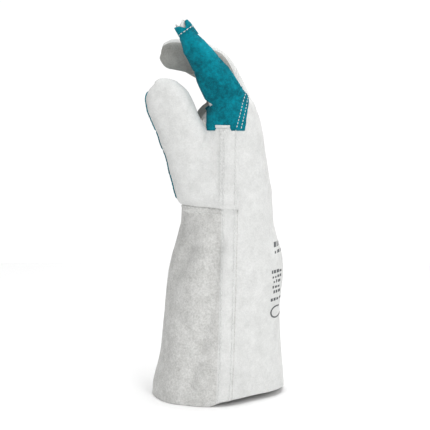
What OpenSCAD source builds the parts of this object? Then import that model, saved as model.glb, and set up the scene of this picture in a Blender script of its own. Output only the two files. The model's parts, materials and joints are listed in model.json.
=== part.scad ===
// Right-hand welding gauntlet of split leather, with a fleece lining and coloured reinforcement patches.
// Frame: +Z runs up from the cuff's rim to the fingertips, +X out of the back of the hand,
// and -Y towards the thumb side. The rim stands on Z = 0. The hand bends on the cuff at the wrist,
// and each finger and the thumb bends at two hinges, its knuckle and its middle.

/* [Cuff] */
// Length of the cuff from its rim to the wrist seam
cuff_length = 191; // [176:1:200]
// Depth of the rim from the palm side to the back
rim_depth = 134; // [122:1:140]
// Width of the rim from the thumb side to the little-finger side
rim_width = 120; // [106:1:132]

/* [Hand] */
// Depth of the hand at the wrist
wrist_depth = 91; // [88:1:94]
// Width of the hand at the wrist
wrist_width = 90; // [86:1:94]
// Width of the hand across the knuckles
palm_width = 107; // [106:0.5:109]
// Depth of the hand halfway up the palm
palm_depth = 78; // [74:1:80]

/* [Fingers] */
// Height of the finger hinges above the wrist seam
knuckle_rise = 108; // [106:0.5:110]
// Depth of a finger at its knuckle
finger_depth = 36; // [34:0.5:37]
// Width of a finger at its knuckle
finger_width = 25.4; // [24:0.2:25.6]

/* [Materials] */
// Thickness of the grey split leather
leather = 1.4; // [1.2:0.1:1.5]
// Thickness of the fleece lining
lining = 1.2; // [0.8:0.1:1.2]
// Thickness of a coloured patch
patch = 1.4; // [1:0.1:1.6]
// Diameter of the sewing thread
thread = 0.8; // [0.6:0.1:1]

/* [Hidden] */
knuckle_height = cuff_length + knuckle_rise;
play = 0.25;            // air between two layers that follow each other exactly
patch_play = 0.7;       // air under a patch
lining_play = 1.2;      // air round the lining
hinge_gap = 0.4;        // air on each side of a hinge's plane
leather_d = [0, leather];       // depths of each layer's two faces below the outer surface
lining_d = [leather + lining_play, leather + lining_play + lining];
patch_d = [-patch_play - patch, -patch_play];
strip_d = [-play - leather, -play];
thread_d = -thread / 2 - 0.3;
grey = [0.86, 0.87, 0.87];
pale = [0.93, 0.93, 0.91];
teal = [0.01, 0.55, 0.62];
cream = [0.90, 0.88, 0.82];

// ---- Smooth curves and sections ----

// Column k of a table of rows at height s, as a smooth curve through its rows, held beyond its ends
function slope(t, i, k) = i <= 0 || i >= len(t) - 1 ? 0
    : (t[i + 1][k] - t[i - 1][k]) / (t[i + 1][0] - t[i - 1][0]);
function row_below(t, s, i = 0) = i >= len(t) - 2 || s <= t[i + 1][0] ? i : row_below(t, s, i + 1);
function smooth(t, s, k) =
    let (i = row_below(t, s), h = t[i + 1][0] - t[i][0], u = max(0, min(1, (s - t[i][0]) / h)), v = 1 - u)
    (1 + 2 * u) * v * v * t[i][k] + u * v * v * h * slope(t, i, k)
    + u * u * (3 - 2 * u) * t[i + 1][k] - u * u * v * h * slope(t, i + 1, k);
function mix(a, b, u) = a + (b - a) * u;
function power(v, n) = sign(v) * pow(abs(v), 2 / n);
function section(a, b, n, angle) = [a * power(cos(angle), n), b * power(sin(angle), n)];
// Rise of a notched edge at distance x from its hinge, with one angle on each side of it
function notch(x, angles) = max(0, -x) * tan(angles[0]) + max(0, x) * tan(angles[1]);

// ---- One closed sheet between an outer and an inner grid of points ----

// Each grid is a list of rows, and wrap joins the last column to the first
module sheet(outer, inner, wrap = false) {
    rows = len(outer);
    cols = len(outer[0]);
    last = wrap ? cols - 1 : cols - 2;
    far = rows * cols;
    function at(i, j) = i * cols + j % cols;
    function quad(a, b, c, d) = [[a, b, c], [a, c, d]];
    skins = [for (i = [0:rows - 2], j = [0:last]) each concat(
        quad(at(i, j), at(i + 1, j), at(i + 1, j + 1), at(i, j + 1)),
        quad(far + at(i, j), far + at(i, j + 1), far + at(i + 1, j + 1), far + at(i + 1, j)))];
    ends = [for (j = [0:last]) each concat(
        quad(at(0, j), at(0, j + 1), far + at(0, j + 1), far + at(0, j)),
        quad(at(rows - 1, j + 1), at(rows - 1, j), far + at(rows - 1, j), far + at(rows - 1, j + 1)))];
    sides = wrap ? [] : [for (i = [0:rows - 2]) each concat(
        quad(at(i + 1, 0), at(i, 0), far + at(i, 0), far + at(i + 1, 0)),
        quad(at(i, cols - 1), at(i + 1, cols - 1), far + at(i + 1, cols - 1), far + at(i, cols - 1)))];
    polyhedron(points = concat([for (r = outer) each r], [for (r = inner) each r]),
        faces = concat(skins, ends, sides));
}

// A grid closed into a solid at both ends, used to cut other pieces
module envelope(grid) {
    rows = len(grid);
    cols = len(grid[0]);
    function at(i, j) = i * cols + j % cols;
    walls = [for (i = [0:rows - 2], j = [0:cols - 1]) each [
        [at(i, j), at(i + 1, j), at(i + 1, j + 1)], [at(i, j), at(i + 1, j + 1), at(i, j + 1)]]];
    caps = [[for (j = [0:cols - 1]) at(0, j)], [for (j = [cols - 1:-1:0]) at(rows - 1, j)]];
    polyhedron(points = [for (r = grid) each r], faces = concat(walls, caps));
}

// Angles of a full turn's columns
function turn(cols) = 360 - 360 / cols;

// ---- The arm: one tube from the rim to the knuckles ----

// Each row holds height, centre x, half depth, half width and the section's exponent
arm = [
    [0, 1, rim_depth / 2, rim_width / 2, 2.05],
    [40, 1, rim_depth / 2 - 4, rim_width / 2 - 2, 2.05],
    [90, 2, rim_depth / 2 - 8.5, rim_width / 2 - 5, 2.1],
    [cuff_length - 61, 4, rim_depth / 2 - 11, rim_width / 2 - 8, 2.1],
    [cuff_length - 41, 6, wrist_depth / 2 + 6.8, wrist_width / 2 + 4, 2.15],
    [cuff_length - 21, 7.5, wrist_depth / 2 + 2, wrist_width / 2 + 1, 2.2],
    [cuff_length, 7.5, wrist_depth / 2, wrist_width / 2, 2.25],
    [cuff_length + 24, 7.5, wrist_depth / 2 - 2, wrist_width / 2 + 3, 2.3],
    [cuff_length + 49, 7, palm_depth / 2, palm_width / 2 - 3, 2.4],
    [cuff_length + 74, 8.5, palm_depth / 2 - 4.5, palm_width / 2 - 1, 2.5],
    [knuckle_height - 14, 7.5, palm_depth / 2 - 9.5, palm_width / 2, 2.8],
    [knuckle_height + 1, 5.5, finger_depth / 2 + 6, palm_width / 2, 3.2]];
thumb_seam = -78;       // angle of the side seam on the thumb side, from the back of the hand
little_seam = 84;       // and of the one on the little-finger side
wrist_x = 7.5;          // place of the wrist's hinge, at the height of the wrist seam
palm_bend = 16;         // how far the wrist bends to the palm, in degrees
back_bend = 14;         // and to the back

// The arm's free edges as [height, rise on the palm side, rise on the back]
rim_edge = [0, [0, 0]];
cuff_edge = [cuff_length - hinge_gap, [-palm_bend / 2 - 1, -back_bend / 2 - 1]];
hand_edge = [cuff_length + hinge_gap, [palm_bend / 2 + 1, back_bend / 2 + 1]];
knuckle_edge = [knuckle_height - 2, [-27, 4]];

// The cuff is pressed flatter towards its rim, between the back and the thumb side
press = [[0, 0.29], [cuff_length * 0.45, 0.19], [cuff_length - 31, 0]];
function arm_point(z, angle, d) =
    let (p = section(smooth(arm, z, 2) - d, smooth(arm, z, 3) - d, smooth(arm, z, 4), angle),
        off = (angle > 180 ? angle - 360 : angle) + 44,
        k = 1 - smooth(press, z, 1) * exp(-pow(off / 38, 2)))
    [smooth(arm, z, 1) + k * p[0], k * p[1], z];
function edge_height(edge, angle, d) = edge[0] + notch(arm_point(edge[0], angle, d)[0] - wrist_x, edge[1]);
function arm_grid(low, high, a0, a1, rows, cols, d) = [for (i = [0:rows]) [for (j = [0:cols])
    let (angle = mix(a0, a1, j / cols))
    arm_point(mix(edge_height(low, angle, d), edge_height(high, angle, d), i / rows), angle, d)]];

module arm_panel(low, high, a0, a1, rows, cols, d)
    sheet(arm_grid(low, high, a0, a1, rows, cols, d[0]), arm_grid(low, high, a0, a1, rows, cols, d[1]));
module arm_tube(low, high, rows, cols, d)
    sheet(arm_grid(low, high, 0, turn(cols), rows, cols - 1, d[0]),
        arm_grid(low, high, 0, turn(cols), rows, cols - 1, d[1]), wrap = true);
module arm_envelope(low, high, rows, cols, d)
    envelope(arm_grid(low, high, 0, turn(cols), rows, cols - 1, d));

// ---- Digits ----

// Each digit: [knuckle hinge, [splay, lean, spin], length of its lower part, its bend, length of its
// upper part, length of the tip's dome, sections as [half depth, half width] at the knuckle, at the
// middle hinge and at the dome, notches at the knuckle, at the middle hinge: [palm side, back]]
knuckle_half = [finger_depth / 2, finger_width / 2];
index = [[5, -39.4, knuckle_height + 1], [3, 27, 0], 43, 8, 35.5, 4,
    [knuckle_half + [0.7, 0], [17.2, 12.6], [9, 12.2]], [33, 0], [42, 10]];
middle = [[9, -13.2, knuckle_height + 4], [1, 23, 0], 33, 57, 55.5, 15,
    [knuckle_half, [16.6, 12.6], [15.2, 12.2]], [33, 0], [22, 47]];
ring = [[8.5, 13.2, knuckle_height + 3], [-1.5, 23, 0], 32, 55, 52, 14.5,
    [knuckle_half, [16.2, 12.4], [14.8, 12]], [33, 0], [22, 47]];
little = [[5, 38.8, knuckle_height - 1], [-5, 22, 0], 27, 41, 45, 13,
    [knuckle_half - [2, 0.9], [15, 11.5], [13.5, 11.2]], [33, 0], [30, 38]];
thumb = [[-34, -43, cuff_length + 65], [0, 26.6, -90], 30, 0, 34, 18,
    [[17.5, 24.2], [16.5, 21.6], [14.5, 19]], [25, 10], [26, 6]];
digit_n = 2.5;          // exponent of a digit's section

function lower_length(f) = f[2];
function bend(f) = f[3];
function dome_start(f) = f[4] - f[5];
function dome(f) = f[5];
function base_notch(f) = f[7];
// The two parts meet on the plane that halves the bend, and the notch opens from there
function middle_notch(f) = (f[8] + [bend(f), -bend(f)]) / 2;
function row_of(s, half) = [s, 0, 0, half[0], half[1]];
function lower_table(f) = [row_of(0, f[6][0]), row_of(f[2], f[6][1])];
function upper_table(f) = [row_of(0, f[6][1]), row_of(dome_start(f), f[6][2])];

module at_knuckle(f)
    translate(f[0]) rotate([f[1][0], 0, 0]) rotate([0, -f[1][1], 0]) rotate([0, 0, f[1][2]])
    children();
module at_middle(f) at_knuckle(f) translate([0, 0, lower_length(f)]) rotate([0, -bend(f), 0]) children();
function bent(f, p) = [cos(bend(f)) * p[0] - sin(bend(f)) * p[2], p[1],
    lower_length(f) + sin(bend(f)) * p[0] + cos(bend(f)) * p[2]];

// A point of a digit's tube: beyond its table the section closes in a dome of the given length
function digit_point(t, s, angle, d, dome = 0) =
    let (rise = dome > 0 ? max(0, min(1, (s - t[len(t) - 1][0]) / (dome - d))) : 0,
        k = sqrt(1 - rise * rise),
        p = section((smooth(t, s, 3) - d) * k, (smooth(t, s, 4) - d) * k, digit_n, angle))
    [smooth(t, s, 1) + p[0], smooth(t, s, 2) + p[1], s];
apex = 0.998;           // how far up the dome the strips run before they meet

function digit_grid(t, s0, s1, a0, a1, rows, cols, d, low, high, dome = 0) = [for (i = [0:rows]) [
    for (j = [0:cols])
        let (angle = mix(a0, a1, j / cols),
            from = s0 + notch(digit_point(t, s0, angle, d)[0], low),
            to = dome > 0 ? s1 + (dome - d) * apex : s1 - notch(digit_point(t, s1, angle, d)[0], high),
            u = dome > 0 ? sin(90 * i / rows) : i / rows)
        digit_point(t, mix(from, to, u), angle, d, dome)]];
module digit_panel(t, s0, s1, a0, a1, rows, cols, d, low, high, dome = 0)
    sheet(digit_grid(t, s0, s1, a0, a1, rows, cols, d[0], low, high, dome),
        digit_grid(t, s0, s1, a0, a1, rows, cols, d[1], low, high, dome));

// One strip of leather between two angles, on the lower or the upper part of a digit
module lower_strip(f, a0, a1, d, cols = 4)
    at_knuckle(f) digit_panel(lower_table(f), hinge_gap, lower_length(f) - hinge_gap, a0, a1, 5, cols, d,
        base_notch(f), middle_notch(f));
module upper_strip(f, a0, a1, d, cols = 4)
    at_middle(f) digit_panel(upper_table(f), hinge_gap, dome_start(f), a0, a1, 6, cols, d,
        middle_notch(f), [0, 0], dome(f));

// The fleece sock of a digit runs unbroken round the bend
function sock_ring(t, s, cols, d, dome = 0) =
    [for (j = [0:cols - 1]) digit_point(t, s, 360 * j / cols, d, dome)];
function sock_grid(f, cols, d, start) =
    let (clear = (f[6][1][0] - d) * tan(bend(f) / 2) + 1.5, top = dome(f) - d)
    concat([for (u = [0:0.5:1]) sock_ring(lower_table(f), mix(start, lower_length(f) - clear, u), cols, d)],
        [for (s = [clear, mix(clear, dome_start(f), 0.5), dome_start(f),
                for (a = [30:20:70]) dome_start(f) + top * sin(a), dome_start(f) + top * apex])
            [for (p = sock_ring(upper_table(f), s, cols, d, dome(f))) bent(f, p)]]);
module sock(f, start = -4, cols = 14)
    at_knuckle(f) sheet(sock_grid(f, cols, lining_d[0], start), sock_grid(f, cols, lining_d[1], start),
        wrap = true);

// ---- The thumb's root, which grows out of the palm ----

thumb_root = [[-64, -19, -6, 19, 27], [-48, -14, -4.5, 20, 28.5], [-24, -6.5, -3, 20, 28.5],
    [0, 0, 0, thumb[6][0][0], thumb[6][0][1]]];
root_cols = 20;
function root_grid(d, from = -60) =
    digit_grid(thumb_root, from, -hinge_gap, 0, turn(root_cols), 7, root_cols - 1, d, [0, 0], [0, 0]);
// resize leaves the size alone: it makes the cut shell one mesh
module off_palm()
    resize([0, 0, 0]) difference() {
        at_knuckle(thumb) children();
        arm_envelope([cuff_length - 20, [0, 0]], [knuckle_height, [0, 0]], 10, 32, -play);
        below_wrist();
    }
module thumb_root_shell(d) off_palm() sheet(root_grid(d[0]), root_grid(d[1]), wrap = true);
// Cuts away what lies under the root and in the way of the thumb, over the range of its hinge
thumb_swing = [-22, -7, 8];
thumb_room = 1;         // air round the moving thumb
module round_root(d)
    resize([0, 0, 0]) difference() {
        children();
        at_knuckle(thumb) {
            envelope(root_grid(d));
            for (swing = thumb_swing) rotate([0, swing, 0])
                envelope(digit_grid(lower_table(thumb), -3, lower_length(thumb) - 1, 0, turn(root_cols), 2,
                    root_cols - 1, d - thumb_room - patch - patch_play, [0, 0], [0, 0]));
        }
    }
// Everything under the wrist's notch
module below_wrist()
    translate([wrist_x, 0, cuff_length + 2]) rotate([0, hand_edge[1][0] + 1, 0])
        translate([-150, -100, -80]) cube([300, 200, 80]);

// ---- Stitches: short straight lengths of thread laid on a surface ----

stitch = 2.6;           // length of one stitch
pitch = 4.2;            // from one stitch to the next
module stitch_between(a, b) {
    v = b - a;
    translate((a + b) / 2) rotate([0, acos(v[2] / norm(v)), atan2(v[1], v[0])])
        cylinder(h = stitch, d = thread, center = true, $fn = 24);
}
// A row up the arm at one angle
module arm_stitches(z0, z1, angle, d)
    for (z = [z0:pitch:z1 - stitch])
        stitch_between(arm_point(z, angle, d), arm_point(z + stitch, angle, d));
// A row along the lower part of a digit
module digit_stitches(f, s0, s1, angle, d)
    at_knuckle(f) for (s = [s0:pitch:s1 - stitch])
        stitch_between(digit_point(lower_table(f), s, angle, d),
                       digit_point(lower_table(f), s + stitch, angle, d));

// ---- Cuff ----

half_gap = 0.3;         // degrees between a panel's edge and its seam
welt = 1.3;             // half the angle that the little-finger side's welt takes
seam_turn = 360 + thumb_seam;
module cuff_palm_panel() color(grey)
    arm_panel(rim_edge, cuff_edge, little_seam + welt + half_gap, seam_turn - half_gap, 9, 16, leather_d);
module cuff_back_panel() color(pale)
    arm_panel(rim_edge, cuff_edge, thumb_seam + half_gap, little_seam - welt - half_gap, 9, 14, leather_d);
module cuff_side_strip() color(pale)
    arm_panel(rim_edge, cuff_edge, thumb_seam - 15, thumb_seam - 3, 9, 2, strip_d);
module cuff_side_welt() color(grey)
    arm_panel(rim_edge, cuff_edge, little_seam - welt, little_seam + welt, 9, 1, [-1.2, leather]);
module cuff_lining() color(cream)
    arm_tube([6, [0, 0]], cuff_edge, 8, 20, lining_d);
// The tape that finishes the lining's lower edge has the flat ring that the cuff stands on
tape_height = 5.5;
module rim_outline(d)
    polygon([for (angle = [0:7.5:352.5]) let (p = arm_point(0, angle, d)) [p[0], p[1]]]);
module rim_tape() color(cream)
    linear_extrude(tape_height) difference() {
        rim_outline(lining_d[0]);
        rim_outline(lining_d[1]);
    }
module cuff_thread() color(pale)
    for (angle = [thumb_seam - 4.4, thumb_seam - 13.6])
        arm_stitches(3, cuff_length - 16, angle, strip_d[0] + thread_d);

// ---- Hand ----

module palm_panel() color(grey)
    round_root(-play)
        arm_panel(hand_edge, knuckle_edge, little_seam + welt + half_gap, seam_turn - half_gap,
        7, 18, leather_d);
module back_panel() color(pale)
    arm_panel(hand_edge, knuckle_edge, thumb_seam + half_gap, little_seam - welt - half_gap,
              7, 14, leather_d);
module hand_side_strip() color(pale)
    arm_panel(hand_edge, [knuckle_height - 29, [0, 0]], thumb_seam - 15, thumb_seam - 1, 7, 2, strip_d);
module hand_side_welt() color(grey)
    arm_panel(hand_edge, knuckle_edge, little_seam - welt, little_seam + welt, 7, 1, [-1.2, leather]);
module hand_lining() color(cream)
    round_root(-play) arm_tube([cuff_length + hinge_gap, cuff_edge[1]], knuckle_edge, 7, 20, lining_d);
// The index patch starts on the side of the hand
module index_root_patch() color(teal)
    arm_panel([knuckle_height - 26, [0, 0]], knuckle_edge, 246, 360 - 64, 3, 6, patch_d);
module palm_patch() color(teal)
    round_root(-play - patch - patch_play)
        arm_panel([cuff_length + 24, [0, 0]], [knuckle_height - 17, [0, 0]], 106, 245, 6, 12, patch_d);
module thumb_root_panel() color(grey) thumb_root_shell(leather_d);
module thumb_root_lining() color(cream) thumb_root_shell(lining_d);
module thumb_root_patch() color(teal)
    off_palm() digit_panel(thumb_root, -56, -hinge_gap, 160, 280, 6, 6, patch_d, [0, 0], [0, 0]);
module hand_thread() color(pale)
    for (angle = [thumb_seam - 2.4, thumb_seam - 13.6])
        arm_stitches(cuff_length + 12, knuckle_height - 30, angle, strip_d[0] + thread_d);

// ---- Fingers ----

// A finger has a palm strip, a back strip and the two fourchettes between them
module base_palm(f) color(grey) lower_strip(f, 135.5, 224.5, leather_d);
module base_back(f) color(pale) lower_strip(f, -44.5, 44.5, leather_d);
module base_fourchettes(f) color(grey)
    for (a = [45.5, 225.5]) lower_strip(f, a, a + 89, leather_d);
module tip_palm(f) color(grey) upper_strip(f, 135.5, 224.5, leather_d);
module tip_back(f) color(pale) upper_strip(f, -44.5, 44.5, leather_d);
module tip_fourchettes(f) color(grey)
    for (a = [45.5, 225.5]) upper_strip(f, a, a + 89, leather_d);
module finger_lining(f) color(cream) sock(f);
module thumb_lining() color(cream) sock(thumb, 1);

// The index patch covers its palm side and its thumb side, up to the seam on its back
patch_from = 128;
patch_to = 332;
module index_base_patch() color(teal) lower_strip(index, patch_from, patch_to, patch_d, 8);
module index_tip_patch() color(teal) upper_strip(index, patch_from, patch_to, patch_d, 8);
module index_thread() color(pale)
    for (angle = [patch_to - 5, patch_to - 17]) digit_stitches(index, 10, 32, angle, patch_d[0] + thread_d);

// Beyond its closing seam the index ends in a flat open hem: the patch outside, raw leather inside
hem = 7;                // height of the hem
module hem_ring(half, wall, height)
    linear_extrude(height) difference() {
        square(2 * half, center = true);
        square(2 * (half - [wall, wall]), center = true);
    }
module at_hem() at_middle(index) translate([0, 0, index[4] + 2.2]) children();
module index_hem() color(teal) at_hem() hem_ring(index[6][2] - [1.4, 2], patch, hem);
module index_raw_edge() color(pale)
    at_hem() hem_ring(index[6][2] - [1.4, 2] - [1, 1] * (patch + play), leather, hem + 1);

// ---- Thumb: two shaped halves, its back and its palm side, and a patch over the palm side ----

module thumb_base_back() color(grey) lower_strip(thumb, -89.5, 89.5, leather_d, 8);
module thumb_base_palm() color(grey) lower_strip(thumb, 90.5, 269.5, leather_d, 8);
module thumb_tip_back() color(grey) upper_strip(thumb, -89.5, 89.5, leather_d, 8);
module thumb_tip_palm() color(grey) upper_strip(thumb, 90.5, 269.5, leather_d, 8);
module thumb_base_patch() color(teal) lower_strip(thumb, 104, 280, patch_d, 7);
module thumb_tip_patch() color(teal) upper_strip(thumb, 104, 280, patch_d, 7);

// ---- Nodes ----

cuff_palm_panel();
cuff_back_panel();
cuff_side_strip();
cuff_side_welt();
cuff_lining();
rim_tape();
cuff_thread();
palm_panel();
back_panel();
hand_side_strip();
hand_side_welt();
hand_lining();
hand_thread();
palm_patch();
index_root_patch();
thumb_root_panel();
thumb_root_lining();
thumb_root_patch();
base_palm(index);  // index_base_palm
base_back(index);  // index_base_back
base_fourchettes(index);  // index_base_fourchettes
tip_palm(index);  // index_tip_palm
tip_back(index);  // index_tip_back
tip_fourchettes(index);  // index_tip_fourchettes
finger_lining(index);  // index_lining
index_base_patch();
index_tip_patch();
index_thread();
index_hem();
index_raw_edge();
base_palm(middle);  // middle_base_palm
base_back(middle);  // middle_base_back
base_fourchettes(middle);  // middle_base_fourchettes
tip_palm(middle);  // middle_tip_palm
tip_back(middle);  // middle_tip_back
tip_fourchettes(middle);  // middle_tip_fourchettes
finger_lining(middle);  // middle_lining
base_palm(ring);  // ring_base_palm
base_back(ring);  // ring_base_back
base_fourchettes(ring);  // ring_base_fourchettes
tip_palm(ring);  // ring_tip_palm
tip_back(ring);  // ring_tip_back
tip_fourchettes(ring);  // ring_tip_fourchettes
finger_lining(ring);  // ring_lining
base_palm(little);  // little_base_palm
base_back(little);  // little_base_back
base_fourchettes(little);  // little_base_fourchettes
tip_palm(little);  // little_tip_palm
tip_back(little);  // little_tip_back
tip_fourchettes(little);  // little_tip_fourchettes
finger_lining(little);  // little_lining
thumb_base_back();
thumb_base_palm();
thumb_tip_back();
thumb_tip_palm();
thumb_lining();
thumb_base_patch();
thumb_tip_patch();
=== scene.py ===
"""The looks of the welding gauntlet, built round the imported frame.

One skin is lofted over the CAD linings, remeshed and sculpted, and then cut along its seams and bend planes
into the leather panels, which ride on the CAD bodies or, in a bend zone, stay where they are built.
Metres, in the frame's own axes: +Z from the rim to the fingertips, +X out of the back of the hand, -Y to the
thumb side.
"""
import json
import math
import bpy
import numpy as np
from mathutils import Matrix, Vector, noise
from mathutils.bvhtree import BVHTree
from mathutils.kdtree import KDTree


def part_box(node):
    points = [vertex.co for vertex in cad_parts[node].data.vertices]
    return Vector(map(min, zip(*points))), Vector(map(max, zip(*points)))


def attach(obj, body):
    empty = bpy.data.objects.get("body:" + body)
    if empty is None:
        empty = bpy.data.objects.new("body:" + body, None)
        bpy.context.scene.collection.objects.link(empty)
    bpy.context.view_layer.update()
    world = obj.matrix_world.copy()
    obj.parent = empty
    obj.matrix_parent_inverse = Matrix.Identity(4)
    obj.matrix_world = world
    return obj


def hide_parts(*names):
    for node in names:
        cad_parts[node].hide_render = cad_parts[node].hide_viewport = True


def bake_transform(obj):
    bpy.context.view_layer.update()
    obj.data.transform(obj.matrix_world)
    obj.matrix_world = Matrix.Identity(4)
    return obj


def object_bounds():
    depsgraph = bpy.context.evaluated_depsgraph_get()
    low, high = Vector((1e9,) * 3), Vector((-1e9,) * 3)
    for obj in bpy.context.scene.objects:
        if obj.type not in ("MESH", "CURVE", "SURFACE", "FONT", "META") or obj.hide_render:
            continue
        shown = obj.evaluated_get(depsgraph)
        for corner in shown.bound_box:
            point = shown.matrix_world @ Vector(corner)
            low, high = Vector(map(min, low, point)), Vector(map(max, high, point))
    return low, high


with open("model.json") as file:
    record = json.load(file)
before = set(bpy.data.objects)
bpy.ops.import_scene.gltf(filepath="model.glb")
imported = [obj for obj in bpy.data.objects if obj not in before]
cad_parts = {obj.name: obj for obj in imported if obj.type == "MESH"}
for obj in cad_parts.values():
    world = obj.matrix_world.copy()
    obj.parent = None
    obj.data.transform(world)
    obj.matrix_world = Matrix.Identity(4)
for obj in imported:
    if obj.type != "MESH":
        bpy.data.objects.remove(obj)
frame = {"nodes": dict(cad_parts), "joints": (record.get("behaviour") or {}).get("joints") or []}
cad_box = [list(corner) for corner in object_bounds()]

MM = 0.001
VOXEL = 1.6 * MM  # size of the leather skin's mesh before it is cut
LINING_VOXEL = 3.2 * MM  # the same for the skin that the lining is cut from
LEATHER = 1.3 * MM  # thickness of a leather panel
FLEECE_GAP = 0.5 * MM  # space between the leather and the lining
PATCH = 1.4 * MM  # how far a patch stands off the skin
BEVEL = 1.5 * MM  # width of a patch's rounded edge
REACH = 90 * MM  # measuring rays start this far from a tube's axis
SIDES = 64  # rays round one section of a tube
FINGER_SLIM = 0.92  # width of a finger's leather against what is measured
DIGITS = ("index", "middle", "ring", "little", "thumb")
FINGERS = DIGITS[:4]
# In mm: how far past its knuckle a digit's leather starts, and how far its bend zone reaches each side of its
# middle hinge
LEAD = {"index": 1, "middle": 1, "ring": 1, "little": 1, "thumb": 3}
EASE = {"index": 8, "middle": 11, "ring": 11, "little": 9, "thumb": 8}
ANGLES = np.arange(SIDES) * 2 * math.pi / SIDES
X, _, Z = np.eye(3)


# ---- Small helpers ----

def unit(v):
    v = np.asarray(v, float)
    return v / np.linalg.norm(v)


def bump(x, width):
    """A smooth hill of height 1 round x = 0."""
    return np.exp(-(x / width) ** 2)


def ramp(x, low, high):
    """0 below low, 1 above high, smooth between."""
    t = np.clip((x - low) / (high - low), 0, 1)
    return t * t * (3 - 2 * t)


def noise_at(points, scale, seed=0.0):
    """Smooth noise from -1 to 1 at each point, with features of the given size in metres."""
    return np.array([noise.noise(Vector(p) / scale + Vector((seed, 2 * seed, -seed))) for p in points])


# ---- What the frame says ----

joints = {j["name"]: j for j in frame["joints"]}


def pivot(name):
    return np.array(joints[name]["pos_m"], float)


def node_points(*names):
    return np.concatenate([np.array([v.co for v in frame["nodes"][n].data.vertices]) for n in names])


def tree_of(name):
    mesh = frame["nodes"][name].data
    return BVHTree.FromPolygons([v.co for v in mesh.vertices], [list(p.vertices) for p in mesh.polygons])


def measured_radii(tree, centre, depth, width):
    """Distance from centre to the tree's outer surface in SIDES directions, nan where there is none."""
    radii = np.full(SIDES, np.nan)
    for i, a in enumerate(ANGLES):
        way = Vector(math.cos(a) * depth + math.sin(a) * width)
        hit = tree.ray_cast(Vector(centre) + way * REACH, -way)
        if hit[0] is not None and hit[3] < REACH - 3 * MM:
            radii[i] = REACH - hit[3]
    return radii


def smooth_rows(rows, sigma):
    """Rows blurred along the first axis, with the ends held."""
    half = int(3 * sigma) + 1
    kernel = np.exp(-0.5 * (np.arange(-half, half + 1) / sigma) ** 2)
    kernel /= kernel.sum()
    padded = np.concatenate([np.repeat(rows[:1], half, 0), rows, np.repeat(rows[-1:], half, 0)])
    return np.stack([np.convolve(column, kernel, "valid") for column in padded.T], 1)


def round_off(rows, harmonics):
    """Rows of radii without the corners that the CAD's flat facets leave."""
    wave = np.fft.rfft(rows, axis=1)
    wave[:, harmonics + 1:] = 0
    return np.fft.irfft(wave, SIDES, axis=1)


def fill_gaps(rows):
    """Rows with their nan values filled, first round each section and then from the row before."""
    for i, row in enumerate(rows):
        good = np.isfinite(row)
        if good.sum() > SIDES * 0.7:
            rows[i] = np.interp(ANGLES, ANGLES[good], row[good], period=2 * math.pi)
        elif i:
            rows[i] = np.where(good, row, rows[i - 1])
    return rows


def depth_under(tree, start):
    """How far a ray from outside the back of the cuff runs before it meets the tree."""
    return tree.ray_cast(Vector(start), Vector(-X))[3]


wrist = pivot("wrist_bend")
knuckles_z = pivot("middle_knuckle_bend")[2]
hand_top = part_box("hand_lining")[1][2]
cuff_tree = tree_of("cuff_lining")
outside = np.array([wrist[0] + 0.2, 0, wrist[2] / 2])
# How far the lining lies under the leather's outer face
BURIED = depth_under(cuff_tree, outside) - depth_under(tree_of("cuff_back_panel"), outside)


# ---- Tubes: the arm and the digits as radii round a bent axis ----

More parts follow.
